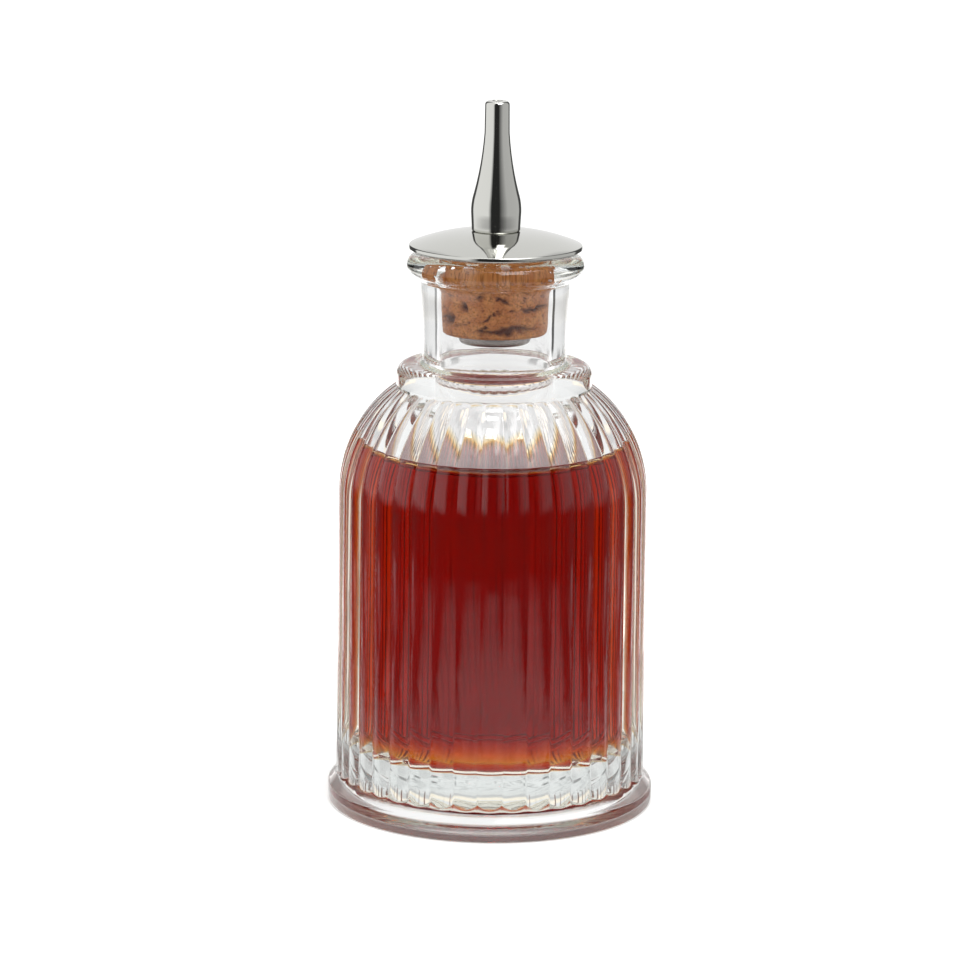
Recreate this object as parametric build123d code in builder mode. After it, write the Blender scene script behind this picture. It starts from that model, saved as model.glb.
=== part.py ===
from build123d import *
import math
import os

# A ribbed glass bottle for bitters, about four fifths full, with a cork stopper, a
# domed metal disc on the cork and a tapered metal dasher spout. A hollow pan
# head screw under the cork clamps the stopper together.
# Units are millimetres. +Z is up, the bottle stands on z = 0 and its axis is Z.
# One rib faces the front, which is -Y.

# Foot of the bottle: heights from the surface that it stands on
flange_radius = 31.0
foot_edge_bevel = 0.25
foot_bevel_height = 0.6
flange_side_top = 3.0
flange_round = 1.5
flange_round_angle = 45
flange_slope_top = 6.6
flange_slope_reach = 2.3
foot_ring_width = 6.75
recess_slope_reach = 1.56
recess_edge_height = 2.05
recess_height = 3.16

# Ribbed body and shoulder of the bottle, with radii over the ribs
rib_count = 40
rib_depth = 0.6
rib_start = 4.5
body_foot_radius = 29.4
body_radius = 29.15
shoulder_start = 60.0
shoulder_round = 25.0
shoulder_rings = 7
join_overlap = 1.0

# Collar, neck and lip of the bottle: heights from the collar's top
collar_radius = 18.4
collar_height = 4.0
collar_round = 1.8
neck_foot_radius = 13.6
neck_foot_round = 1.2
neck_waist_radius = 13.5
neck_waist_rise = 4.65
neck_top_radius = 13.95
neck_top_rise = 13.95
lip_start_rise = 16.05
lip_ring_rise = 18.8
lip_ring_radius = 14.66
lip_round = 1.97
lip_join_angle = 75
mouth_round = 1.0

# Inside of the bottle
body_wall = 5.65
bore_radius = 10.6
bore_foot_round = 8.0
floor_thickness = 10.5
floor_rise = 1.37
cavity_corner = 5.54
fill_depth = 56.0

# Cork, which plugs the bore
cork_length = 15.25
cork_bore_gap = 0.25
cork_bottom_radius = 9.85
cork_bevel = 0.5

# Disc, which lies on the cork just above the lip
disc_lip_gap = 0.9
disc_radius = 16.25
disc_edge_bevel = 0.3
disc_bevel_height = 0.3
disc_rim_height = 0.95
disc_height = 3.6
disc_seat_radius = 5.2
disc_rim_slope_share = 1.7
disc_seat_slope_share = 0.3

# Hollow screw: head under the cork, stem up through cork and disc into the spout
screw_head_radius = 6.7
screw_head_height = 2.0
screw_head_round = 0.9
screw_bore_radius = 1.2
stem_radius = 2.5
stem_gap = 0.05
stem_engagement = 5.45
socket_end_gap = 0.6

# Spout, with heights from its foot on the disc
spout_foot_radius = 4.56
spout_widest_radius = 4.78
spout_widest_rise = 5.2
spout_lower_radius = 3.54
spout_lower_rise = 9.75
spout_middle_radius = 2.8
spout_middle_rise = 14.05
spout_slim_radius = 2.36
spout_slim_rise = 18.45
spout_tip_radius = 2.3
spout_length = 24.35
spout_tip_round = 0.4
spout_orifice_radius = 0.9
spout_orifice_depth = 2.2
spout_bore_radius = 1.3

# Direction of the front, in degrees from +X: one rib's crest is there
front_angle = -90

# Values that follow from the ones above
rib_pitch_angle = 360 / rib_count
foot_edge_radius = flange_radius - foot_edge_bevel
foot_ring_inner_radius = flange_radius - foot_ring_width
shoulder_centre = (body_radius - shoulder_round, shoulder_start)
collar_reach = collar_radius - shoulder_centre[0]
collar_seat = shoulder_start + math.sqrt(shoulder_round**2 - collar_reach**2)
shoulder_end_angle = math.degrees(math.acos((collar_reach - join_overlap) / shoulder_round))
collar_top = collar_seat + collar_height
lip_centre = (lip_ring_radius, collar_top + lip_ring_rise)
lip_top = (lip_ring_radius, lip_centre[1] + lip_round)
cavity_radius = body_radius - body_wall
cavity_round = shoulder_round - body_wall
bore_foot_reach = bore_radius + bore_foot_round - shoulder_centre[0]
bore_foot_height = shoulder_start + math.sqrt((cavity_round + bore_foot_round) ** 2 - bore_foot_reach**2)
bore_foot_angle = math.degrees(math.atan2(bore_foot_height - shoulder_start, bore_foot_reach))
fill_level = floor_thickness + fill_depth
fill_angle = math.degrees(math.asin((fill_level - shoulder_start) / cavity_round))
hole_radius = stem_radius + stem_gap
cork_top = lip_top[1] + disc_lip_gap
cork_bottom = cork_top - cork_length
cork_top_radius = bore_radius - cork_bore_gap
disc_seat = cork_top + disc_height
head_bottom = cork_bottom - screw_head_height
stem_top = disc_seat + stem_engagement
socket_top = stem_top + socket_end_gap
spout_top = disc_seat + spout_length

os.makedirs("parts", exist_ok=True)


def on_arc(centre, radius, angle):
    """Returns the point of an arc at an angle in degrees."""
    turn = math.radians(angle)
    return (centre[0] + radius * math.cos(turn), centre[1] + radius * math.sin(turn))


def arc_between(centre, radius, first_angle, last_angle):
    """Draws an arc from its centre, radius and two angles in degrees."""
    angles = (first_angle, (first_angle + last_angle) / 2, last_angle)
    return ThreePointArc(*[on_arc(centre, radius, angle) for angle in angles])


def rib_ring(height, crest_radius):
    """Draws the ribbed outline at one height: convex ribs with a sharp groove between neighbours."""
    groove_radius = crest_radius * (1 - rib_depth / body_radius)
    with BuildSketch(Plane.XY.offset(height)) as ring:
        with BuildLine():
            for rib in range(rib_count):
                crest = rib * rib_pitch_angle + front_angle
                ThreePointArc(
                    on_arc((0, 0), groove_radius, crest - rib_pitch_angle / 2),
                    on_arc((0, 0), crest_radius, crest),
                    on_arc((0, 0), groove_radius, crest + rib_pitch_angle / 2),
                )
        make_face()
    return ring.sketch


def cavity_wall(top_angle):
    """Draws the inner wall from the middle of the floor up to an angle on the shoulder."""
    corner_centre = (cavity_radius - cavity_corner, floor_thickness + cavity_corner)
    floor_edge = (corner_centre[0], floor_thickness)
    Spline((0, floor_thickness + floor_rise), floor_edge, tangents=((1, 0), (1, 0)))
    arc_between(corner_centre, cavity_corner, -90, 0)
    Line((cavity_radius, corner_centre[1]), (cavity_radius, shoulder_start))
    arc_between(shoulder_centre, cavity_round, 0, top_angle)


# The bottle: ribbed body and shoulder, foot flange, collar with neck and lip, less the cavity and the recess
with BuildPart() as glass_bottle:
    loft(sections=[rib_ring(rib_start, body_foot_radius), rib_ring(shoulder_start, body_radius)], ruled=True)
    shoulder_sections = []
    for ring in range(shoulder_rings):
        turn = shoulder_end_angle * ring / (shoulder_rings - 1)
        crest_radius, height = on_arc(shoulder_centre, shoulder_round, turn)
        shoulder_sections.append(rib_ring(height, crest_radius))
    loft(sections=shoulder_sections)

    with BuildSketch(Plane.XZ) as flange_profile:
        with BuildLine():
            Polyline(
                (0, flange_slope_top),
                (0, 0),
                (foot_edge_radius, 0),
                (flange_radius, foot_bevel_height),
                (flange_radius, flange_side_top),
            )
            rounding = arc_between((flange_radius - flange_round, flange_side_top), flange_round, 0, flange_round_angle)
            slope_end = (flange_radius - flange_slope_reach, flange_slope_top)
            Polyline(rounding @ 1, slope_end, (0, flange_slope_top))
        make_face()
    revolve(axis=Axis.Z)

    with BuildSketch(Plane.XZ) as neck_profile:
        with BuildLine():
            collar_centre = (collar_radius - collar_round, collar_top - collar_round)
            neck_foot_centre = (neck_foot_radius + neck_foot_round, collar_top + neck_foot_round)
            neck_top = (neck_top_radius, collar_top + neck_top_rise)
            lip_start = (neck_top_radius, collar_top + lip_start_rise)
            Polyline(
                (0, lip_top[1]),
                (0, collar_seat - join_overlap),
                (collar_radius, collar_seat - join_overlap),
                (collar_radius, collar_centre[1]),
            )
            arc_between(collar_centre, collar_round, 0, 90)
            Line((collar_centre[0], collar_top), (neck_foot_centre[0], collar_top))
            neck_foot = arc_between(neck_foot_centre, neck_foot_round, 270, 180)
            Spline(neck_foot @ 1, (neck_waist_radius, collar_top + neck_waist_rise), neck_top)
            Polyline(neck_top, lip_start, on_arc(lip_centre, lip_round, -lip_join_angle))
            arc_between(lip_centre, lip_round, -lip_join_angle, 90)
            Line(lip_top, (0, lip_top[1]))
        make_face()
    revolve(axis=Axis.Z)

    with BuildSketch(Plane.XZ) as cavity_profile:
        with BuildLine():
            mouth_centre = (bore_radius + mouth_round, lip_top[1] - mouth_round)
            bore_foot_centre = (bore_radius + bore_foot_round, bore_foot_height)
            cavity_wall(bore_foot_angle)
            arc_between(bore_foot_centre, bore_foot_round, 180 + bore_foot_angle, 180)
            Line((bore_radius, bore_foot_height), (bore_radius, mouth_centre[1]))
            arc_between(mouth_centre, mouth_round, 180, 90)
            Polyline((mouth_centre[0], lip_top[1]), (0, lip_top[1]), (0, floor_thickness + floor_rise))
        make_face()
    revolve(axis=Axis.Z, mode=Mode.SUBTRACT)

    with BuildSketch(Plane.XZ) as recess_profile:
        with BuildLine():
            recess_edge = (foot_ring_inner_radius - recess_slope_reach, recess_edge_height)
            Polyline((0, recess_height), (0, 0), (foot_ring_inner_radius, 0), recess_edge)
            Spline(recess_edge, (0, recess_height), tangents=((-1, 0), (-1, 0)))
        make_face()
    revolve(axis=Axis.Z, mode=Mode.SUBTRACT)

# The bitters: the cavity's own shape up to the fill level
with BuildPart() as bitters_fill:
    with BuildSketch(Plane.XZ) as fill_profile:
        with BuildLine():
            cavity_wall(fill_angle)
            fill_edge = on_arc(shoulder_centre, cavity_round, fill_angle)
            Polyline(fill_edge, (0, fill_level), (0, floor_thickness + floor_rise))
        make_face()
    revolve(axis=Axis.Z)

# The cork: a tapered plug with a hole for the screw's stem
with BuildPart() as cork_stopper:
    with BuildSketch(Plane.XZ) as cork_profile:
        with BuildLine():
            Polyline(
                (hole_radius, cork_bottom),
                (cork_bottom_radius - cork_bevel, cork_bottom),
                (cork_bottom_radius, cork_bottom + cork_bevel),
                (cork_top_radius, cork_top),
                (hole_radius, cork_top),
                close=True,
            )
        make_face()
    revolve(axis=Axis.Z)

# The disc: flat below and domed above, with a flat seat for the spout and a hole for the stem
with BuildPart() as cap_disc:
    with BuildSketch(Plane.XZ) as disc_profile:
        with BuildLine():
            rim = (disc_radius, cork_top + disc_rim_height)
            seat = (disc_seat_radius, disc_seat)
            mean_slope = (seat[1] - rim[1]) / (rim[0] - seat[0])
            Polyline(
                seat,
                (hole_radius, disc_seat),
                (hole_radius, cork_top),
                (disc_radius - disc_edge_bevel, cork_top),
                (disc_radius, cork_top + disc_bevel_height),
                rim,
            )
            rim_slope = disc_rim_slope_share * mean_slope
            seat_slope = disc_seat_slope_share * mean_slope
            Spline(rim, seat, tangents=((-1, rim_slope), (-1, seat_slope)))
        make_face()
    revolve(axis=Axis.Z)

# The spout: a straight foot, a concave taper and a slim tube, hollow from the foot's socket to the orifice
with BuildPart() as spout:
    with BuildSketch(Plane.XZ) as spout_profile:
        with BuildLine():
            widest = (spout_widest_radius, disc_seat + spout_widest_rise)
            slim = (spout_slim_radius, disc_seat + spout_slim_rise)
            tip_centre = (spout_tip_radius - spout_tip_round, spout_top - spout_tip_round)
            orifice_bottom = spout_top - spout_orifice_depth
            Polyline((hole_radius, disc_seat), (spout_foot_radius, disc_seat), widest)
            Spline(
                widest,
                (spout_lower_radius, disc_seat + spout_lower_rise),
                (spout_middle_radius, disc_seat + spout_middle_rise),
                slim,
            )
            Line(slim, (spout_tip_radius, tip_centre[1]))
            arc_between(tip_centre, spout_tip_round, 0, 90)
            Polyline(
                (tip_centre[0], spout_top),
                (spout_orifice_radius, spout_top),
                (spout_orifice_radius, orifice_bottom),
                (spout_bore_radius, orifice_bottom),
                (spout_bore_radius, socket_top),
                (hole_radius, socket_top),
                (hole_radius, disc_seat),
            )
        make_face()
    revolve(axis=Axis.Z)

# The hollow screw: a pan head under the cork and a stem with a bore all the way up
with BuildPart() as hollow_screw:
    with BuildSketch(Plane.XZ) as screw_profile:
        with BuildLine():
            head_centre = (screw_head_radius - screw_head_round, head_bottom + screw_head_round)
            arc_between(head_centre, screw_head_round, -90, 0)
            Polyline(
                (screw_head_radius, head_centre[1]),
                (screw_head_radius, cork_bottom),
                (stem_radius, cork_bottom),
                (stem_radius, stem_top),
                (screw_bore_radius, stem_top),
                (screw_bore_radius, head_bottom),
                (head_centre[0], head_bottom),
            )
        make_face()
    revolve(axis=Axis.Z)

glass_bottle.part.label = "glass_bottle"
bitters_fill.part.label = "bitters_fill"
cork_stopper.part.label = "cork_stopper"
cap_disc.part.label = "cap_disc"
spout.part.label = "spout"
hollow_screw.part.label = "hollow_screw"

export_step(glass_bottle.part, "parts/glass_bottle.step")
export_step(bitters_fill.part, "parts/bitters_fill.step")
export_step(cork_stopper.part, "parts/cork_stopper.step")
export_step(cap_disc.part, "parts/cap_disc.step")
export_step(spout.part, "parts/spout.step")
export_step(hollow_screw.part, "parts/hollow_screw.step")
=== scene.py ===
"""A ribbed glass bottle for bitters with a cork stopper and a polished metal dasher spout.

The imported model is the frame. Every new piece is made here in that frame, at the place of the node
that it stands for: the pressed glass, the bitters, the cork with its pores and the turned steel parts.
Profiles are written in millimetres and turned to metres where a vertex is made.
"""

import logging
import math
from dataclasses import dataclass
from enum import Enum
from typing import Any, Callable

import bmesh
import bpy
from mathutils import Euler, Matrix, Vector, noise
from mathutils.geometry import interpolate_bezier


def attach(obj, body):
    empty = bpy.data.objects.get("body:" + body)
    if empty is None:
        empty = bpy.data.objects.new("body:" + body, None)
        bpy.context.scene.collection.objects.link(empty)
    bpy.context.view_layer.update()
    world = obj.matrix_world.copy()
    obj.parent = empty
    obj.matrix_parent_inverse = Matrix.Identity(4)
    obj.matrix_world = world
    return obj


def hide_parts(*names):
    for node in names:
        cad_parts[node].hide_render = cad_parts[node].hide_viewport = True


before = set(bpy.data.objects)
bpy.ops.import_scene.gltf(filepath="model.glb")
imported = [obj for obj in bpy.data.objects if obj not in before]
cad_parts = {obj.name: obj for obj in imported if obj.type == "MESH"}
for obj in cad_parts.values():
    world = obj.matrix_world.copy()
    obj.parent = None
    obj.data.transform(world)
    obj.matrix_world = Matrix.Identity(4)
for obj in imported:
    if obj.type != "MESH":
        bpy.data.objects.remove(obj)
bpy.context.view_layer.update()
MM = 0.001
SAME_PLACE = 1e-6
LOG = logging.getLogger("bitters_bottle")
WHITE = (1.0, 1.0, 1.0, 1.0)
# Names of the values that meshes hold for their shaders
SKIN_IOR = "skin_ior"
STIPPLE = "stipple"
PORE = "pore"
GLOW = "glow"
# A colour mix has its two colours at these inputs and its result at this output
MIX_FIRST, MIX_SECOND, MIX_RESULT = 6, 7, 2


class Body(Enum):
    """The bodies that pieces ride on."""

    BOTTLE = "bottle"
    STOPPER = "stopper"
    SPOUT = "spout"
    SCREW = "screw"


class Slot(Enum):
    """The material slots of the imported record."""

    GLASS = "clear_glass"
    BITTERS = "bitters"
    CORK = "cork"
    POLISHED = "polished_steel"
    SATIN = "satin_steel"


class Ray(Enum):
    """The kinds of ray that a light card may be seen by."""

    GLOSSY = "visible_glossy"
    THROUGH = "visible_transmission"


def colour(code: str) -> tuple[float, float, float, float]:
    """Turns an sRGB hex colour to linear values.

    Args:
        code: Six hex digits.

    Returns:
        Red, green, blue and an alpha of 1.
    """
    parts = [int(code[place : place + 2], 16) / 255 for place in (0, 2, 4)]
    linear = [part / 12.92 if part <= 0.04045 else ((part + 0.055) / 1.055) ** 2.4 for part in parts]
    return (linear[0], linear[1], linear[2], 1.0)


def add_node(
    tree: bpy.types.NodeTree, kind: str, inputs: dict[str | int, Any] | None = None, **settings: Any
) -> bpy.types.Node:
    """Adds a node with its settings and links.

    Args:
        tree: The tree that gets the node.
        kind: Blender's name for the node's type.
        inputs: A value, or a socket to link from, for each input's name or number.
        settings: The node's own options.

    Returns:
        The new node.
    """
    node = tree.nodes.new(kind)
    for name, value in settings.items():
        setattr(node, name, value)
    for name, value in (inputs or {}).items():
        if isinstance(value, bpy.types.NodeSocket):
            tree.links.new(value, node.inputs[name])
        else:
            node.inputs[name].default_value = value
    return node


def new_material(name: str) -> tuple[bpy.types.Material, bpy.types.NodeTree, bpy.types.Node]:
    """Makes a material that holds only its output.

    Args:
        name: The material's name.

    Returns:
        The material, its node tree and the output node.
    """
    material = bpy.data.materials.new(name)
    material.use_nodes = True
    material.node_tree.nodes.clear()
    return material, material.node_tree, add_node(material.node_tree, "ShaderNodeOutputMaterial")


def texture_scale(feature_mm: float) -> float:
    """Gives the texture scale at which one feature is that many millimetres wide."""
    return 1 / (feature_mm * MM)


@dataclass(frozen=True)
class PressedGlass:
    """Soda-lime glass pressed in a mould: clear, faintly grey-green in depth, its skin slightly wavy."""

    ior: float = 1.52
    depth_tint: str = "C6D3CE"
    tint_density: float = 8.0
    wave_mm: float = 7.0
    wave_height_mm: float = 0.05

    def build(self) -> bpy.types.Material:
        """Makes the material.

        Returns:
            The material.
        """
        material, tree, output = new_material("pressed_soda_lime_glass")
        place = add_node(tree, "ShaderNodeTexCoord").outputs["Object"]
        # The mould leaves slow waves, which make the bright and dark lines in the ribs wander.
        waves = add_node(
            tree,
            "ShaderNodeTexNoise",
            {"Vector": place, "Scale": texture_scale(self.wave_mm), "Detail": 1.0},
        )
        bump = add_node(
            tree,
            "ShaderNodeBump",
            {"Height": waves.outputs["Fac"], "Strength": 1.0, "Distance": self.wave_height_mm * MM},
        )
        shader = add_node(
            tree,
            "ShaderNodeBsdfPrincipled",
            {
                "Base Color": WHITE,
                "Roughness": add_node(tree, "ShaderNodeAttribute", attribute_name=STIPPLE).outputs["Fac"],
                "IOR": add_node(tree, "ShaderNodeAttribute", attribute_name=SKIN_IOR).outputs["Fac"],
                "Transmission Weight": 1.0,
                "Normal": bump.outputs["Normal"],
            },
        )
        depth = add_node(
            tree,
            "ShaderNodeVolumeAbsorption",
            {"Color": colour(self.depth_tint), "Density": self.tint_density},
        )
        tree.links.new(shader.outputs["BSDF"], output.inputs["Surface"])
        tree.links.new(depth.outputs["Volume"], output.inputs["Volume"])
        return material


@dataclass(frozen=True)
class AromaticBitters:
    """Bitters in high-proof spirit: deep red through the whole bottle and amber where they are thin."""

    ior: float = 1.36
    depth_tint: str = "F6D55E"
    tint_density: float = 450.0

    def build(self) -> bpy.types.Material:
        """Makes the material.

        Returns:
            The material.
        """
        material, tree, output = new_material("aromatic_bitters")
        shader = add_node(
            tree,
            "ShaderNodeBsdfPrincipled",
            {
                "Base Color": WHITE,
                "Roughness": 0.0,
                "IOR": add_node(tree, "ShaderNodeAttribute", attribute_name=SKIN_IOR).outputs["Fac"],
                "Transmission Weight": 1.0,
            },
        )
        depth = add_node(
            tree,
            "ShaderNodeVolumeAbsorption",
            {"Color": colour(self.depth_tint), "Density": self.tint_density},
        )
        tree.links.new(shader.outputs["BSDF"], output.inputs["Surface"])
        tree.links.new(depth.outputs["Volume"], output.inputs["Volume"])
        return material


@dataclass(frozen=True)
class NaturalCork:
    """Natural cork, punched from bark: matt, warm brown in soft patches, with pores and cracks darkened by
    their depth, partly as painted shade.
    """

    light: str = "E29A5A"
    middle: str = "CB7D45"
    dark: str = "97572B"
    # Pore brown, laid on by depth: partly the pores' own colour, partly painted shade in pores and cracks
    pore: str = "5A2812"
    patch_mm: float = 2.2
    grain_mm: float = 0.35
    grain_height_mm: float = 0.06
    # Where the noise turns from the middle brown to the light one, and from no speck to a dark one
    patch_span: tuple[float, float] = (0.4, 0.62)
    speck_span: tuple[float, float] = (0.48, 0.66)
    speck_share: float = 0.7
    roughness: float = 0.85
    sheen: float = 0.3

    def build(self) -> bpy.types.Material:
        """Makes the material.

        Returns:
            The material.
        """
        material, tree, output = new_material("natural_cork")
        place = add_node(tree, "ShaderNodeTexCoord").outputs["Object"]
        patches = add_node(
            tree,
            "ShaderNodeTexNoise",
            {"Vector": place, "Scale": texture_scale(self.patch_mm), "Detail": 3.0, "Distortion": 0.6},
        )
        grain = add_node(
            tree,
            "ShaderNodeTexNoise",
            {"Vector": place, "Scale": texture_scale(self.grain_mm), "Detail": 2.0},
        )
        low, high = self.patch_span
        patch_share = add_node(
            tree, "ShaderNodeMapRange", {"Value": patches.outputs["Fac"], "From Min": low, "From Max": high}
        )
        low, high = self.speck_span
        speck_share = add_node(
            tree,
            "ShaderNodeMapRange",
            {
                "Value": grain.outputs["Fac"],
                "From Min": low,
                "From Max": high,
                "To Max": self.speck_share,
            },
        )
        ground = add_node(
            tree,
            "ShaderNodeMix",
            {
                "Factor": patch_share.outputs["Result"],
                MIX_FIRST: colour(self.middle),
                MIX_SECOND: colour(self.light),
            },
            data_type="RGBA",
        )
        specks = add_node(
            tree,
            "ShaderNodeMix",
            {
                "Factor": speck_share.outputs["Result"],
                MIX_FIRST: ground.outputs[MIX_RESULT],
                MIX_SECOND: colour(self.dark),
            },
            data_type="RGBA",
        )
        # The mesh says how deep each point lies in a pore or a crack, and the colour turns to the pore brown
        # with that depth: partly the pores' own colour, partly painted shade in the hollows.
        pores = add_node(tree, "ShaderNodeAttribute", attribute_name=PORE)
        pore_brown_and_painted_shade = add_node(
            tree,
            "ShaderNodeMix",
            {
                "Factor": pores.outputs["Fac"],
                MIX_FIRST: specks.outputs[MIX_RESULT],
                MIX_SECOND: colour(self.pore),
            },
            data_type="RGBA",
        )
        bump = add_node(
            tree,
            "ShaderNodeBump",
            {"Height": grain.outputs["Fac"], "Strength": 1.0, "Distance": self.grain_height_mm * MM},
        )
        shader = add_node(
            tree,
            "ShaderNodeBsdfPrincipled",
            {
                "Base Color": pore_brown_and_painted_shade.outputs[MIX_RESULT],
                "Roughness": self.roughness,
                "Specular IOR Level": self.sheen,
                "Normal": bump.outputs["Normal"],
            },
        )
        tree.links.new(shader.outputs["BSDF"], output.inputs["Surface"])
        return material


@dataclass(frozen=True)
class TurnedSteel:
    """Stainless steel turned on a lathe: how bright its polish is, and how deep the tool's rings are."""

    name: str
    metal: str
    roughness: float
    ring_mm: float
    ring_height_mm: float
    haze_mm: float = 3.0
    haze_share: float = 0.2
    haze_span: tuple[float, float] = (0.3, 0.7)

    def build(self) -> bpy.types.Material:
        """Makes the material.

        Returns:
            The material.
        """
        material, tree, output = new_material(self.name)
        place = add_node(tree, "ShaderNodeTexCoord").outputs["Object"]
        # Rings round the axis: noise that is fine along the radius and height and has no change round it.
        split = add_node(tree, "ShaderNodeSeparateXYZ", {"Vector": place})
        flat = add_node(tree, "ShaderNodeCombineXYZ", {"X": split.outputs["X"], "Y": split.outputs["Y"]})
        radius = add_node(tree, "ShaderNodeVectorMath", {0: flat.outputs["Vector"]}, operation="LENGTH")
        rings_at = add_node(
            tree, "ShaderNodeCombineXYZ", {"X": radius.outputs["Value"], "Y": split.outputs["Z"]}
        )
        rings = add_node(
            tree,
            "ShaderNodeTexNoise",
            {"Vector": rings_at.outputs["Vector"], "Scale": texture_scale(self.ring_mm), "Detail": 2.0},
        )
        haze = add_node(
            tree,
            "ShaderNodeTexNoise",
            {"Vector": place, "Scale": texture_scale(self.haze_mm), "Detail": 2.0},
        )
        roughness = add_node(
            tree,
            "ShaderNodeMapRange",
            {
                "Value": haze.outputs["Fac"],
                "From Min": self.haze_span[0],
                "From Max": self.haze_span[1],
                "To Min": self.roughness * (1 - self.haze_share),
                "To Max": self.roughness * (1 + self.haze_share),
            },
        )
        bump = add_node(
            tree,
            "ShaderNodeBump",
            {"Height": rings.outputs["Fac"], "Strength": 1.0, "Distance": self.ring_height_mm * MM},
        )
        shader = add_node(
            tree,
            "ShaderNodeBsdfPrincipled",
            {
                "Base Color": colour(self.metal),
                "Metallic": 1.0,
                "Roughness": roughness.outputs["Result"],
                "Normal": bump.outputs["Normal"],
            },
        )
        tree.links.new(shader.outputs["BSDF"], output.inputs["Surface"])
        return material


GLASS = PressedGlass()
BITTERS = AromaticBitters()
POLISHED_STEEL = TurnedSteel("polished_stainless_steel", "CFCFCA", 0.07, 0.12, 0.0003)
SATIN_STEEL = TurnedSteel("satin_stainless_steel", "837C79", 0.2, 0.1, 0.002)


class Turning:
    """A half profile in the XZ plane that is spun about Z into a closed shell."""

    CORNER_STEPS = 4

    def __init__(self, radius: float, height: float) -> None:
        """Starts the profile at a point.

        Args:
            radius: Distance from the axis in millimetres.
            height: Height in millimetres.
        """
        self.mesh = bmesh.new()
        self.tip = self.mesh.verts.new((radius * MM, 0, height * MM))
        self.soft: list[tuple[bmesh.types.BMVert, float]] = []

    def extend(self, place: Vector) -> None:
        """Extrudes the tip to a place in metres."""
        self.tip = bmesh.ops.extrude_vert_indiv(self.mesh, verts=[self.tip])["verts"][0]
        self.tip.co = place

    def line_to(self, radius: float, height: float, steps: int = 1, soften: float = 0.0) -> None:
        """Draws a straight line.

        Args:
            radius: Distance of its end from the axis in millimetres.
            height: Height of its end in millimetres.
            steps: Number of edges.
            soften: Width of the rounding that its end gets, in millimetres.
        """
        start, end = self.tip.co.copy(), Vector((radius, 0, height)) * MM
        for step in range(steps):
            self.extend(start.lerp(end, (step + 1) / steps))
        if soften:
            self.soft.append((self.tip, soften))

    def arc(self, radius: float, height: float, angle: float, steps: int) -> None:
        """Turns the tip about a centre.

        Args:
            radius: Distance of the centre from the axis in millimetres.
            height: Height of the centre in millimetres.
            angle: Degrees, positive from +X towards +Z.
            steps: Number of edges.
        """
        made = bmesh.ops.spin(
            self.mesh,
            geom=[self.tip],
            cent=Vector((radius, 0, height)) * MM,
            axis=(0, -1, 0),
            angle=math.radians(angle),
            steps=steps,
        )
        self.tip = made["geom_last"][0]

    def curve_to(
        self,
        radius: float,
        height: float,
        leave: tuple[float, float],
        arrive: tuple[float, float],
        steps: int,
    ) -> None:
        """Draws a smooth curve.

        Args:
            radius: Distance of its end from the axis in millimetres.
            height: Height of its end in millimetres.
            leave: Radius and height from its start to its first handle.
            arrive: Radius and height from its second handle to its end.
            steps: Number of edges.
        """
        start, end = self.tip.co.copy(), Vector((radius, 0, height)) * MM
        first = start + Vector((leave[0], 0, leave[1])) * MM
        second = end - Vector((arrive[0], 0, arrive[1])) * MM
        for place in interpolate_bezier(start, first, second, end, steps + 1)[1:]:
            self.extend(place)

    def close(self) -> "Turning":
        """Joins the profile's tip to its first point, for a piece with a hole along its axis.

        Returns:
            The turning itself.
        """
        self.mesh.verts.ensure_lookup_table()
        self.mesh.edges.new((self.tip, self.mesh.verts[0]))
        return self

    def join_ends(self) -> "Turning":
        """Joins the tip to the first point where the two lie in one place."""
        bmesh.ops.remove_doubles(self.mesh, verts=self.mesh.verts[:], dist=SAME_PLACE)
        return self

    def spun(self, steps: int) -> bmesh.types.BMesh:
        """Rounds the soft corners and spins the profile.

        Args:
            steps: Number of columns round the axis.

        Returns:
            The closed shell, with its faces outwards.
        """
        for corner, width in self.soft:
            bmesh.ops.bevel(
                self.mesh,
                geom=[corner],
                offset=width * MM,
                offset_type="OFFSET",
                segments=self.CORNER_STEPS,
                profile=0.5,
                affect="VERTICES",
                material=-1,
            )
        bmesh.ops.spin(
            self.mesh,
            geom=self.mesh.verts[:] + self.mesh.edges[:],
            cent=(0, 0, 0),
            axis=(0, 0, 1),
            angle=math.tau,
            steps=steps,
            use_merge=True,
        )
        bmesh.ops.remove_doubles(self.mesh, verts=self.mesh.verts[:], dist=SAME_PLACE)
        bmesh.ops.recalc_face_normals(self.mesh, faces=self.mesh.faces[:])
        return self.mesh


def reshape(
    mesh: bmesh.types.BMesh, move: Callable[[float, float, float], tuple[float, float, float]]
) -> None:
    """Moves every vertex of a turned mesh in its own radius, angle and height.

    Args:
        mesh: The mesh.
        move: Gives the new radius, angle and height from the old, in millimetres and radians.
    """
    for vertex in mesh.verts:
        radius = math.hypot(vertex.co.x, vertex.co.y) / MM
        angle = math.atan2(vertex.co.y, vertex.co.x)
        radius, angle, height = move(radius, angle, vertex.co.z / MM)
        vertex.co = Vector((radius * math.cos(angle), radius * math.sin(angle), height)) * MM


def sort_faces(mesh: bmesh.types.BMesh) -> None:
    """Puts the faces in the order of their lowest vertices, because spinning orders them by chance.

    Args:
        mesh: The mesh.
    """
    mesh.verts.index_update()
    count = len(mesh.verts)

    def rank(face: bmesh.types.BMFace) -> float:
        """Makes one number of a face's three lowest vertices."""
        first, second, third = sorted(vertex.index for vertex in face.verts)[:3]
        return (first * count + second) * count + third

    mesh.faces.sort(key=rank)


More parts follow.
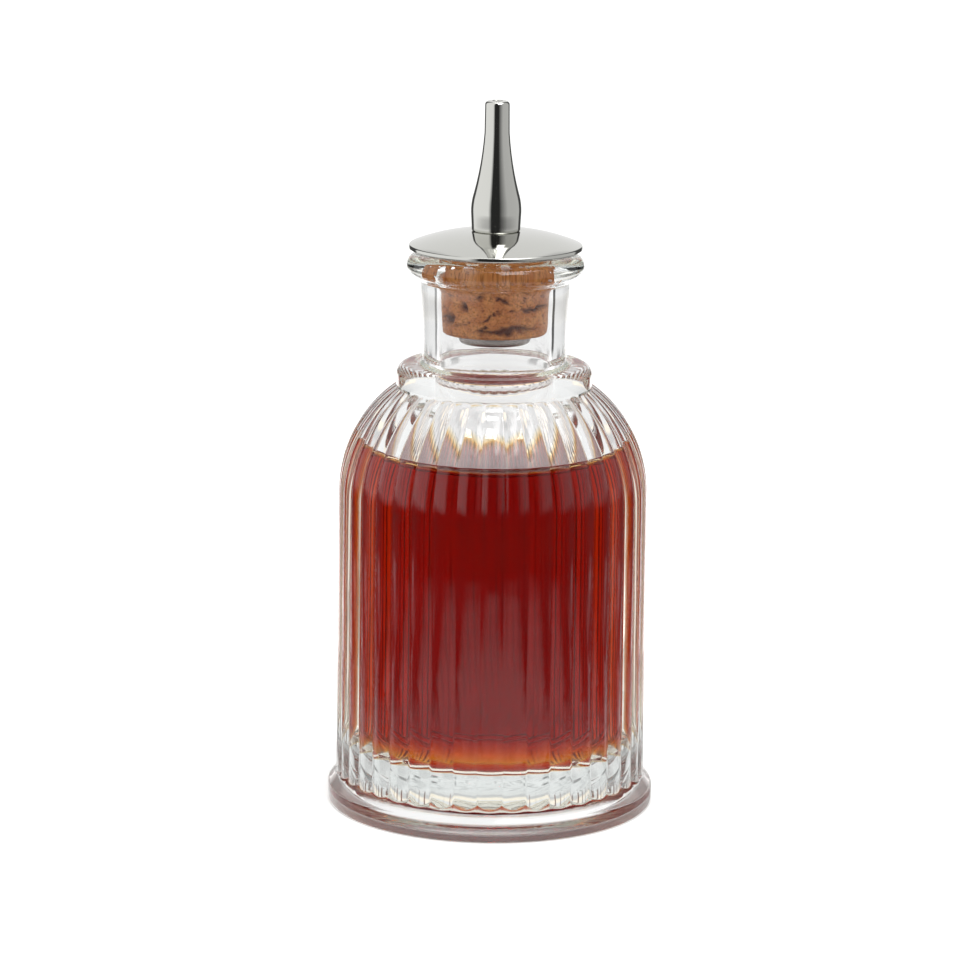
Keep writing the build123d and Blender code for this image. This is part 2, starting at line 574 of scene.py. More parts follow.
def place_piece(
    mesh: bmesh.types.BMesh, name: str, finish: bpy.types.Material, body: Body, node: str
) -> bpy.types.Object:
    """Makes a finished piece from its mesh and puts it in a CAD node's stead.

    Args:
        mesh: The mesh in metres, which is used up.
        name: The piece's name.
        finish: The piece's material.
        body: The body that it rides on.
        node: The CAD node that it stands for.

    Returns:
        The piece.
    """
    sort_faces(mesh)
    data = bpy.data.meshes.new(name)
    mesh.to_mesh(data)
    mesh.free()
    data.materials.append(finish)
    data.shade_smooth()
    piece = bpy.data.objects.new(name, data)
    bpy.context.scene.collection.objects.link(piece)
    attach(piece, body.value)
    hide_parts(node)
    triangles = sum(len(face.vertices) - 2 for face in data.polygons)
    LOG.info("%s: %d triangles, rides on %s", name, triangles, body.value)
    return piece


@dataclass
class Bottle:
    """The pressed glass bottle and the bitters in it. Lengths are in millimetres."""

    foot_radius: float = 31.0
    foot_side_top: float = 3.0
    foot_round: float = 1.5
    foot_round_angle: float = 45.0
    foot_slope_top: tuple[float, float] = (28.7, 6.6)
    foot_edge: tuple[float, float] = (0.25, 0.6)
    foot_edge_round: float = 0.35
    ring_inner: float = 24.25
    ring_edge_round: float = 0.5
    recess_edge: tuple[float, float] = (22.69, 2.05)
    recess_height: float = 3.16
    recess_handle_share: float = 0.4
    rib_count: int = 40
    columns_per_rib: int = 10
    columns_crowding: float = 0.3
    rib_depth: float = 0.6
    rib_foot_gap: float = 0.3
    rib_foot_rises: tuple[float, ...] = (0.3, 0.8, 1.6, 3.0, 6.0)
    rib_foot_fade: float = 6.0
    rib_top_fade: float = 3.0
    wall_foot: tuple[float, float] = (29.4, 4.5)
    body_radius: float = 29.15
    shoulder_start: float = 60.0
    shoulder_round: float = 25.0
    collar_radius: float = 18.4
    collar_top: float = 84.5411
    collar_round: float = 1.8
    collar_foot_rise: float = 0.3
    collar_foot_angles: tuple[float, float] = (2.3, 0.7)
    neck_foot_radius: float = 13.6
    neck_foot_round: float = 1.2
    neck_foot_handle: tuple[float, float] = (-0.16, 4.0)
    neck_top_handle: tuple[float, float] = (0.25, 4.5)
    neck_top_radius: float = 13.95
    neck_top_rise: float = 13.95
    lip_start_rise: float = 16.05
    lip_start_round: float = 0.3
    lip_ring_rise: float = 18.8
    lip_ring_radius: float = 14.66
    lip_round: float = 1.97
    lip_join_angle: float = 75.0
    mouth_round: float = 1.0
    body_wall: float = 5.65
    bore_radius: float = 10.6
    bore_foot_round: float = 8.0
    floor_thickness: float = 10.5
    floor_rise: float = 1.37
    floor_handle_share: float = 0.45
    cavity_corner: float = 5.54
    fill_level: float = 66.5
    fill_overlap: float = 0.08
    fill_columns: int = 200
    fill_wall_lean: float = 0.2
    meniscus_height: float = 2.1
    meniscus_width: float = 2.6
    # Shares of the meniscus's width and height: how it leaves the glass, and how it runs out on the level
    meniscus_steep_shares: tuple[float, float] = (0.1, 0.6)
    meniscus_flat_share: float = 0.6
    stipple: float = 0.55
    stipple_reach: float = 0.2
    # A vertex or face counts as on a surface when it is this near
    near: float = 0.1
    nearer: float = 0.05
    nearest: float = 0.01

    @property
    def shoulder_radius(self) -> float:
        """Distance from the axis to the shoulder's centre."""
        return self.body_radius - self.shoulder_round

    @property
    def depth_share(self) -> float:
        """Share of the radius that a groove is cut in."""
        return self.rib_depth / self.body_radius

    @property
    def wet_height(self) -> float:
        """Height at which the bitters' meniscus meets the glass."""
        return self.fill_level + self.meniscus_height

    @property
    def wet_angle(self) -> float:
        """Angle on the cavity's shoulder at which the meniscus meets the glass, in degrees."""
        rise = self.wet_height - self.shoulder_start
        return math.degrees(math.asin(rise / (self.shoulder_round - self.body_wall)))

    def slope_height(self, radius: float) -> float:
        """Gives the height of the foot's slope.

        Args:
            radius: Radius in millimetres.

        Returns:
            The height in millimetres.
        """
        turn = math.radians(self.foot_round_angle)
        start = (
            self.foot_radius - self.foot_round * (1 - math.cos(turn)),
            self.foot_side_top + self.foot_round * math.sin(turn),
        )
        end = self.foot_slope_top
        return end[1] + (radius - end[0]) * (start[1] - end[1]) / (start[0] - end[0])

    def shoulder_height(self, radius: float) -> float:
        """Height of the shoulder over the ribs at a radius."""
        rise_squared = self.shoulder_round**2 - (radius - self.shoulder_radius) ** 2
        return self.shoulder_start + math.sqrt(max(0.0, rise_squared))

    def cavity(self, turning: Turning, grow: float, top_angle: float, downwards: bool) -> None:
        """Draws the cavity's wall between the shoulder and the middle of the floor.

        Args:
            turning: The profile, whose tip is at one end of the wall.
            grow: Distance that the wall is moved outwards.
            top_angle: Angle on the shoulder at the wall's upper end, in degrees.
            downwards: True if the tip is at the upper end.
        """
        wall = self.body_radius - self.body_wall + grow
        floor = self.floor_thickness - grow
        corner = self.cavity_corner + grow
        across = self.floor_handle_share * (wall - corner)
        if downwards:
            wet = self.wet_angle
            turning.arc(self.shoulder_radius, self.shoulder_start, wet - top_angle, steps=14)
            turning.arc(self.shoulder_radius, self.shoulder_start, -wet, steps=8)
            turning.line_to(wall, floor + corner, steps=6)
            turning.arc(wall - corner, floor + corner, -90, steps=10)
            turning.curve_to(0, floor + self.floor_rise, (-across, 0), (-across, 0), steps=12)
        else:
            turning.curve_to(wall - corner, floor, (across, 0), (across, 0), steps=12)
            turning.arc(wall - corner, floor + corner, 90, steps=10)
            turning.line_to(wall, self.shoulder_start, steps=6)
            turning.arc(self.shoulder_radius, self.shoulder_start, top_angle, steps=8)

    def draw_foot(self, turning: Turning) -> None:
        """Draws the recess, the ring that the bottle stands on and the flange's side.

        Args:
            turning: The profile, whose tip is where this part starts.
        """
        across = self.recess_handle_share * self.recess_edge[0]
        turning.curve_to(*self.recess_edge, (across, 0), (across, 0), steps=12)
        turning.line_to(self.ring_inner, 0, soften=self.ring_edge_round)
        turning.line_to(self.foot_radius - self.foot_edge[0], 0, steps=3, soften=self.foot_edge_round)
        turning.line_to(self.foot_radius, self.foot_edge[1], soften=self.foot_edge_round)
        turning.line_to(self.foot_radius, self.foot_side_top, steps=2)
        turning.arc(
            self.foot_radius - self.foot_round, self.foot_side_top, self.foot_round_angle, steps=8
        )

    def draw_wall(self, turning: Turning) -> None:
        """Draws the flange's slope, the wall over the ribs and the shoulder.

        Args:
            turning: The profile, whose tip is where this part starts.
        """
        meet = self.wall_foot[0]
        turning.line_to(meet + self.rib_foot_gap, self.slope_height(meet + self.rib_foot_gap), steps=3)
        low = self.slope_height(meet)
        turning.line_to(meet, low)
        for rise in self.rib_foot_rises:
            turning.line_to(self.wall_radius(low + rise), low + rise)
        turning.line_to(self.body_radius, self.shoulder_start, steps=8)
        shoulder_end = math.degrees(
            math.acos((self.collar_radius - self.shoulder_radius) / self.shoulder_round)
        )
        wide, narrow = self.collar_foot_angles
        turning.arc(self.shoulder_radius, self.shoulder_start, shoulder_end - wide - narrow, steps=30)
        turning.arc(self.shoulder_radius, self.shoulder_start, wide, steps=3)
        turning.arc(self.shoulder_radius, self.shoulder_start, narrow, steps=1)

    def draw_neck(self, turning: Turning) -> None:
        """Draws the collar, the neck and the lip, and ends inside the mouth.

        Args:
            turning: The profile, whose tip is where this part starts.
        """
        turning.line_to(self.collar_radius, self.shoulder_height(self.collar_radius) + self.collar_foot_rise)
        turning.line_to(self.collar_radius, self.collar_top - self.collar_round, steps=2)
        turning.arc(
            self.collar_radius - self.collar_round, self.collar_top - self.collar_round, 90, steps=10
        )
        turning.line_to(self.neck_foot_radius + self.neck_foot_round, self.collar_top, steps=2)
        turning.arc(
            self.neck_foot_radius + self.neck_foot_round,
            self.collar_top + self.neck_foot_round,
            -90,
            steps=8,
        )
        turning.curve_to(
            self.neck_top_radius,
            self.collar_top + self.neck_top_rise,
            self.neck_foot_handle,
            self.neck_top_handle,
            steps=14,
        )
        turning.line_to(
            self.neck_top_radius,
            self.collar_top + self.lip_start_rise,
            steps=2,
            soften=self.lip_start_round,
        )
        lip_centre = (self.lip_ring_radius, self.collar_top + self.lip_ring_rise)
        lip_top = lip_centre[1] + self.lip_round
        turn = math.radians(-self.lip_join_angle)
        turning.line_to(
            lip_centre[0] + self.lip_round * math.cos(turn), lip_centre[1] + self.lip_round * math.sin(turn)
        )
        turning.arc(*lip_centre, self.lip_join_angle + 90, steps=22)
        turning.line_to(self.bore_radius + self.mouth_round, lip_top, steps=3)
        turning.arc(self.bore_radius + self.mouth_round, lip_top - self.mouth_round, 90, steps=7)

    def profile(self) -> Turning:
        """Draws the glass from the middle of the recess round the outside to the middle of the floor.

        Returns:
            The profile.
        """
        turning = Turning(0, self.recess_height)
        self.draw_foot(turning)
        self.draw_wall(turning)
        self.draw_neck(turning)
        foot = self.bore_radius + self.bore_foot_round
        reach = foot - self.shoulder_radius
        span = self.shoulder_round - self.body_wall + self.bore_foot_round
        foot_height = self.shoulder_start + math.sqrt(span**2 - reach**2)
        foot_angle = math.degrees(math.acos(reach / span))
        turning.line_to(self.bore_radius, foot_height, steps=8)
        turning.arc(foot, foot_height, foot_angle, steps=14)
        self.cavity(turning, 0.0, foot_angle, downwards=True)
        return turning

    def wall_radius(self, height: float) -> float:
        """Radius of the straight wall over the ribs at a height."""
        share = (height - self.wall_foot[1]) / (self.shoulder_start - self.wall_foot[1])
        return self.wall_foot[0] + share * (self.body_radius - self.wall_foot[0])

    def rib(self, radius: float, angle: float, height: float) -> tuple[float, float, float]:
        """Gives a point of the turned shell its place on the ribbed bottle.

        Args:
            radius: Radius in millimetres.
            angle: Angle in radians. One rib's crest is at zero.
            height: Height in millimetres.

        Returns:
            The new radius, angle and height.
        """
        pitch = math.tau / self.rib_count
        crest = round(angle / pitch) * pitch
        across = (angle - crest) / (pitch / 2)
        # The columns stand closer together at the grooves, which are much sharper than the crests.
        across *= 1 + self.columns_crowding - self.columns_crowding * across**2
        angle = crest + across * pitch / 2
        keep = 1 - self.depth_share * across**2
        low = self.slope_height(self.wall_foot[0])
        outside = radius > self.body_radius - self.body_wall / 2
        if outside and low - self.nearest < height <= self.shoulder_start:
            # The foot of each rib runs down the slope, and the wall near it follows.
            lift = self.slope_height(self.wall_foot[0] * keep) - low
            share = max(0.0, 1 - (height - low) / self.rib_foot_fade)
            return radius * keep, angle, height + lift * share**2
        reach = math.hypot(radius - self.shoulder_radius, height - self.shoulder_start)
        on_shoulder = height > self.shoulder_start and reach > self.shoulder_round - self.nearer
        under_collar = (
            radius > self.collar_radius - self.nearest
            and height < self.shoulder_height(self.collar_radius) + self.nearer
        )
        if on_shoulder and under_collar:
            # The ribs end against the collar, so near it the whole ring slides down the shoulder.
            share = max(0.0, 1 - (radius - self.collar_radius) / self.rib_top_fade)
            radius = radius / keep ** (share**2)
            return radius * keep, angle, self.shoulder_height(radius)
        return radius, angle, height

    def glass(self) -> bpy.types.Object:
        """Makes the pressed glass.

        Returns:
            The piece.
        """
        mesh = self.profile().spun(self.rib_count * self.columns_per_rib)
        reshape(mesh, self.rib)
        skin = mesh.faces.layers.float.new(SKIN_IOR)
        stipple = mesh.faces.layers.float.new(STIPPLE)
        cavity_radius = self.body_radius - self.body_wall
        for face in mesh.faces:
            middle = face.calc_center_median() / MM
            radius = math.hypot(middle.x, middle.y)
            inside = radius < cavity_radius + self.near and middle.z > self.floor_thickness - self.near
            # Where bitters wet the glass, light bends only by the ratio of the two.
            wet = inside and middle.z < self.wet_height
            face[skin] = GLASS.ior / BITTERS.ior if wet else GLASS.ior
            # The ring that the bottle stands on is stippled by its mould.
            on_ring = middle.z < self.stipple_reach and radius > self.recess_edge[0]
            face[stipple] = self.stipple if on_ring else 0.0
        return place_piece(mesh, "ribbed_glass", GLASS.build(), Body.BOTTLE, "glass_bottle")

    def bitters(self) -> bpy.types.Object:
        """Makes the bitters, whose skin lies a hair inside the glass, so that no film of air shows.

        Returns:
            The piece.
        """
        grow = self.fill_overlap
        rise = self.wet_height - self.shoulder_start
        span = self.shoulder_round - self.body_wall + grow
        reach = math.sqrt(span**2 - rise**2)
        turning = Turning(0, self.floor_thickness - grow + self.floor_rise)
        self.cavity(turning, grow, math.degrees(math.atan2(rise, reach)), downwards=False)
        steep_across, steep_down = self.meniscus_steep_shares
        turning.curve_to(
            self.shoulder_radius + reach - self.meniscus_width,
            self.fill_level,
            (-steep_across * self.meniscus_width, -steep_down * self.meniscus_height),
            (-self.meniscus_flat_share * self.meniscus_width, 0),
            steps=14,
        )
        turning.line_to(0, self.fill_level, steps=6)
        mesh = turning.spun(self.fill_columns)
        # The skin at the glass bends nothing, because the glass's own faces bend the light there.
        skin = mesh.faces.layers.float.new(SKIN_IOR)
        for face in mesh.faces:
            outwards = face.calc_center_median()
            outwards.z = 0
            at_glass = face.normal.z < 0 or face.normal.dot(outwards.normalized()) > self.fill_wall_lean
            face[skin] = 1.0 if at_glass else BITTERS.ior
        return place_piece(mesh, "bitters", BITTERS.build(), Body.BOTTLE, "bitters_fill")

    def build(self) -> list[bpy.types.Object]:
        """Makes the glass and the bitters."""
        return [self.glass(), self.bitters()]


@dataclass(frozen=True)
class Marks:
    """How one kind of mark is scattered in the cork."""

    # Marks for each millimetre, across the cork and along it
    across: float
    along: float
    # Where in the noise this kind is read
    seed: tuple[float, float, float]

    def at(self, place: Vector) -> float:
        """Reads the noise, which goes from about -1 to 1, at a point in millimetres."""
        spot = Vector((place.x * self.across, place.y * self.across, place.z * self.along))
        return noise.noise(spot + Vector(self.seed))


@dataclass
class Cork:
    """The tapered cork. Lengths are in millimetres, heights from the bottle's foot."""

    bottom: float = 90.9611
    top: float = 106.2111
    bottom_radius: float = 9.85
    waist_radius: float = 10.25
    waist_height: float = 99.2
    squeezed_radius: float = 10.66
    squeezed_height: float = 100.6
    bevel: float = 0.5
    bevel_round: float = 0.1
    top_bevel: float = 0.3
    hole_radius: float = 2.55
    hole_edge: float = 0.5
    columns: int = 240
    rows: int = 84
    pore_depth: float = 0.7
    # Lenticels: flat, wide hollows along the bark's layers, where the layers' noise is near one level
    layers: Marks = Marks(0.28, 1.2, (3.1, 7.7, 0.4))
    layer_level: float = 0.05
    layer_width: float = 0.04
    # They come in spots, which this gain and start set apart.
    spots: Marks = Marks(0.7, 0.7, (11.0, 2.0, 5.0))
    spot_gain: float = 3.0
    spot_start: float = 0.1
    # Pits: small round hollows at the noise's peaks
    pits: Marks = Marks(1.3, 1.3, (1.0, 9.0, 4.0))
    pit_level: float = 0.5
    pit_gain: float = 7.0
    # Pressed against the glass, the pores close up to this share of their depth.
    pressed_share: float = 0.45
    # Crumbling of the free side: crumbs for each millimetre, and their depth
    crumbs: tuple[tuple[float, float], ...] = ((0.5, 0.12), (2.5, 0.05))
    crumb_start: float = 0.5
    # The side that touches the glass, in degrees from the front, in patches that are taller than wide
    contact_left: float = -80.0
    contact_right: float = 69.0
    contact_gap: float = 0.15
    contact_scale: float = 0.6
    contact_flatness: float = 0.3
    contact_seed: tuple[float, float, float] = (2.0, 8.0, 1.0)
    contact_level: float = -0.35
    # Long cracks: degrees round from the front, height, half their width in degrees, half height and slant
    cracks: tuple[tuple[float, float, float, float, float], ...] = (
        (12, 92.7, 40, 0.8, 0.3), (44, 96.6, 26, 0.55, 0.15), (-32, 97.0, 5, 1.1, -0.4),
        (-54, 94.5, 12, 1.3, 0.3), (8, 98.3, 9, 0.3, -0.9), (-14, 99.4, 6, 0.7, 0.6),
        (30, 100.0, 7, 0.5, -0.5), (-8, 94.9, 7, 0.25, 0.8), (150, 94.0, 30, 0.5, -0.4),
        (-140, 96.5, 26, 0.45, 0.3), (95, 93.5, 16, 0.4, 0.2), (-100, 98.0, 14, 0.4, -0.3),
    )  # fmt: skip
    crack_depth: float = 1.3
    crack_waver: float = 0.7
    ragged: Marks = Marks(0.8, 0.8, (5.0, 5.0, 5.0))

    def pore(self, place: Vector) -> float:
        """Says how deep a point lies in a pore or a crack.

        Args:
            place: The point in millimetres.

        Returns:
            Zero for sound cork and 1 at the bottom of a pore.
        """
        layers = max(0.0, 1 - abs(self.layers.at(place) - self.layer_level) / self.layer_width)
        spots = max(0.0, min(1.0, self.spots.at(place) * self.spot_gain - self.spot_start))
        pits = max(0.0, min(1.0, (self.pits.at(place) - self.pit_level) * self.pit_gain))
        depth = layers * spots + pits
        side = math.degrees(math.atan2(place.x, -place.y))
        ragged = self.ragged.at(place)
        for middle, height, width, rise, slant in self.cracks:
            across = ((side - middle + 180) % 360 - 180) / width
            if abs(across) < 1:
                up = (place.z - height - slant * across + self.crack_waver * ragged) / rise
                depth += max(0.0, self.crack_depth * (1 - across**2) - abs(up))
        return min(1.0, depth)

    def touches(self, place: Vector) -> bool:
        """Says whether the squeezed cork touches the glass at a point, so that it shows clearly there.

        Args:
            place: The point in millimetres.

        Returns:
            True where the two touch.
        """
        side = math.degrees(math.atan2(place.x, -place.y))
        spot = Vector((place.x, place.y, place.z * self.contact_flatness)) * self.contact_scale
        patch = noise.noise(spot + Vector(self.contact_seed))
        return self.contact_left < side < self.contact_right and patch > self.contact_level

    def build(self) -> list[bpy.types.Object]:
        """Makes the cork.

        Returns:
            The piece.
        """
        turning = Turning(self.hole_radius, self.bottom)
        turning.line_to(self.bottom_radius - self.bevel, self.bottom, steps=14)
        turning.line_to(self.bottom_radius, self.bottom + self.bevel, steps=4, soften=self.bevel_round)
        turning.line_to(self.waist_radius, self.waist_height, steps=self.rows // 2)
        # Above the waist the neck squeezes the cork, and the two touch without any air between them.
        turning.line_to(self.squeezed_radius, self.squeezed_height, steps=10)
        turning.line_to(self.squeezed_radius, self.top - self.top_bevel, steps=self.rows // 3)
        turning.line_to(self.squeezed_radius - self.top_bevel, self.top, steps=2)
        turning.line_to(self.hole_radius, self.top, steps=4)
        mesh = turning.close().spun(self.columns)
        depth_at = mesh.verts.layers.float.new(PORE)
        for vertex in mesh.verts:
            place = vertex.co / MM
            radius = math.hypot(place.x, place.y)
            if radius < self.hole_radius + self.hole_edge or place.z > self.top - self.bevel_round:
                continue
            pressed = place.z > self.waist_height
            depth = self.pore(place) * (self.pressed_share if pressed else 1.0)
            vertex[depth_at] = depth
            inwards = Vector((-place.x, -place.y, 0)).normalized()
            on_end = radius < self.bottom_radius - self.bevel - 2 * self.bevel_round
            if on_end and place.z < self.bottom + 2 * self.bevel_round:
                inwards = Vector((0, 0, 1))
            if pressed:
                crumble = 0.0 if self.touches(place) else self.contact_gap
            else:
                crumble = sum(
                    size * (noise.noise(place * scale) + self.crumb_start) for scale, size in self.crumbs
                )
            vertex.co += inwards * (depth * self.pore_depth + max(0.0, crumble)) * MM
        return [place_piece(mesh, "cork", NaturalCork().build(), Body.STOPPER, "cork_stopper")]


@dataclass
class MetalTop:
    """The disc, the spout and the hollow screw.

    Lengths are in millimetres. Heights are over the bottle's foot, and rises over the disc's seat.
    """

    cork_top: float = 106.2111
    cork_bottom: float = 90.9611
    hole_radius: float = 2.55
    disc_radius: float = 16.25
    disc_rim_height: float = 0.95
    disc_rim_round: float = 0.2
    disc_bevel: float = 0.3
    disc_columns: int = 256
    disc_height: float = 3.6
    disc_seat_radius: float = 5.2
    # How much steeper than the straight slope the disc's dome is at its rim and at its seat
    dome_steepness: tuple[float, float] = (1.7, 0.3)
    edge_round: float = 0.1
    head_radius: float = 6.7
    head_height: float = 2.0
    head_round: float = 0.9
    head_edge_round: float = 0.12
    screw_bore: float = 1.2
    stem_radius: float = 2.5
    stem_reach: float = 5.45
    screw_columns: int = 72
    thread_pitch: float = 0.8
    thread_depth: float = 0.35
    thread_start_rise: float = 0.3
    hair: float = 0.01
    spout_length: float = 24.35
    spout_columns: int = 160
    # The spout's outline: radius at its foot, then radius and rise up to the slim tube
    spout_foot_radius: float = 4.56
    spout_foot_round: float = 0.3
    spout_side: tuple[tuple[float, float], ...] = ((4.58, 0.6), (4.72, 3.3))
    spout_widest: tuple[float, float] = (4.78, 5.2)
    spout_widest_round: float = 1.5
    spout_taper_end: tuple[float, float] = (2.36, 18.45)
    spout_taper_handles: tuple[tuple[float, float], ...] = ((-1.37, 4.42), (-0.31, 4.42))
    spout_tip_radius: float = 2.3
    spout_tip_round: float = 0.7
    spout_mouth_radius: float = 0.9
    spout_mouth_round: float = 0.15
    spout_mouth_depth: float = 2.2
    spout_bore: float = 1.3
    spout_socket_room: float = 0.6

    @property
    def seat(self) -> float:
        """Height of the disc's seat, where the spout stands."""
        return self.cork_top + self.disc_height

    def disc(self) -> bmesh.types.BMesh:
        """Makes the domed disc.

        Returns:
            The mesh.
        """
        fall = (self.disc_height - self.disc_rim_height) / (self.disc_radius - self.disc_seat_radius)
        reach = (self.disc_radius - self.disc_seat_radius) / 3
        at_rim, at_seat = self.dome_steepness
        turning = Turning(self.disc_seat_radius, self.seat)
        turning.line_to(self.hole_radius, self.seat, steps=3)
        turning.line_to(self.hole_radius, self.cork_top, steps=3)
        turning.line_to(self.disc_radius - self.disc_bevel, self.cork_top, steps=8, soften=self.edge_round)
        turning.line_to(self.disc_radius, self.cork_top + self.disc_bevel, soften=self.edge_round)
        turning.line_to(
            self.disc_radius,
            self.cork_top + self.disc_rim_height,
            steps=2,
            soften=self.disc_rim_round,
        )
        turning.curve_to(
            self.disc_seat_radius,
            self.seat,
            (-reach, at_rim * fall * reach),
            (-reach, at_seat * fall * reach),
            steps=40,
        )
        return turning.spun(self.disc_columns)

    def spout(self) -> bmesh.types.BMesh:
        """Makes the spout: a foot, a concave taper and a slim tube, hollow all the way.

        Returns:
            The mesh.
        """
        low, high = self.seat, self.seat + self.spout_length
        socket_top = low + self.stem_reach + self.spout_socket_room
        turning = Turning(self.hole_radius, low)
        turning.line_to(self.spout_foot_radius, low, steps=4, soften=self.spout_foot_round)
        (foot_radius, foot_rise), (side_radius, side_rise) = self.spout_side
        turning.line_to(foot_radius, low + foot_rise)
        turning.line_to(side_radius, low + side_rise, steps=4)
        turning.line_to(
            self.spout_widest[0], low + self.spout_widest[1], soften=self.spout_widest_round
        )
        turning.curve_to(
            self.spout_taper_end[0], low + self.spout_taper_end[1], *self.spout_taper_handles, steps=7
        )
        turning.line_to(self.spout_tip_radius, high - self.spout_tip_round, steps=10)
        turning.arc(self.spout_tip_radius - self.spout_tip_round, high - self.spout_tip_round, 90, steps=8)
        turning.line_to(self.spout_mouth_radius, high, steps=2, soften=self.spout_mouth_round)
        turning.line_to(self.spout_mouth_radius, high - self.spout_mouth_depth, steps=4)
        turning.line_to(self.spout_bore, high - self.spout_mouth_depth)
        turning.line_to(self.spout_bore, socket_top, steps=8)
        turning.line_to(self.hole_radius, socket_top)
        turning.line_to(self.hole_radius, low, steps=8)
        return turning.join_ends().spun(self.spout_columns)

    def thread(self, radius: float, angle: float, height: float) -> tuple[float, float, float]:
        """Cuts the thread's groove into the screw's stem.

        Args:
            radius: Radius in millimetres.
            angle: Angle in radians.
            height: Height in millimetres.

        Returns:
            The new radius, angle and height.
        """
        rise = height - self.seat - self.thread_start_rise
        if rise < 0 or abs(radius - self.stem_radius) > self.hair:
            return radius, angle, height
        turn = (height / self.thread_pitch - angle / math.tau) % 1.0
        cut = 1 - abs(2 * turn - 1)
        fade = min(1.0, rise / self.thread_pitch)
        return radius - self.thread_depth * cut * fade, angle, height

    def screw(self) -> bmesh.types.BMesh:
        """Makes the hollow screw with its pan head and the thread at the top of its stem.

        Returns:
            The mesh.
        """
        head_bottom = self.cork_bottom - self.head_height
        stem_top = self.seat + self.stem_reach
        turning = Turning(self.screw_bore, head_bottom)
        turning.line_to(self.head_radius - self.head_round, head_bottom, steps=6)
        turning.arc(self.head_radius - self.head_round, head_bottom + self.head_round, 90, steps=8)
        turning.line_to(self.head_radius, self.cork_bottom, steps=2, soften=self.head_edge_round)
        turning.line_to(self.stem_radius, self.cork_bottom, steps=4)
        turning.line_to(self.stem_radius, self.seat + self.thread_start_rise, steps=16)
        turning.line_to(self.stem_radius, stem_top, steps=52)
        turning.line_to(self.screw_bore, stem_top, steps=2)
        turning.line_to(self.screw_bore, head_bottom, steps=20)
        mesh = turning.join_ends().spun(self.screw_columns)
        reshape(mesh, self.thread)
        return mesh

    def build(self) -> list[bpy.types.Object]:
        """Makes the three metal pieces.

        Returns:
            The pieces.
        """
        polished, satin = POLISHED_STEEL.build(), SATIN_STEEL.build()
        return [
            place_piece(self.disc(), "domed_disc", polished, Body.STOPPER, "cap_disc"),
            place_piece(self.spout(), "dasher_spout", polished, Body.SPOUT, "spout"),
            place_piece(self.screw(), "clamp_screw", satin, Body.SCREW, "hollow_screw"),
        ]


Tones = tuple[tuple[float, float], ...]


@dataclass(frozen=True)
class LightRing:
    """A ring of light, in millimetres. Its brightness goes by degrees from the front to the right."""

    radius: float
    height: float
    tones: Tones
    tint: str = "FFFFFF"


def even(brightness: float) -> Tones:
    """Gives one brightness all the way round."""
    return ((-180, brightness), (180, brightness))


def mirrored(right: Tones) -> Tones:
    """Gives both sides the tones of the right one."""
    return tuple((-side, brightness) for side, brightness in reversed(right)) + right


# What the reflections see above the table on both sides of the back, and on the left
BACK_LEFT: Tones = ((-180, 0.93), (-162, 0.93), (-156, 0.08), (-130, 0.08))
BACK_RIGHT: Tones = ((130, 0.08), (156, 0.08), (162, 0.93), (180, 0.93))
LEFT_CARD: Tones = ((-124, 1.08), (-36, 1.05), (-28, 0.5), (-22, 0.03))


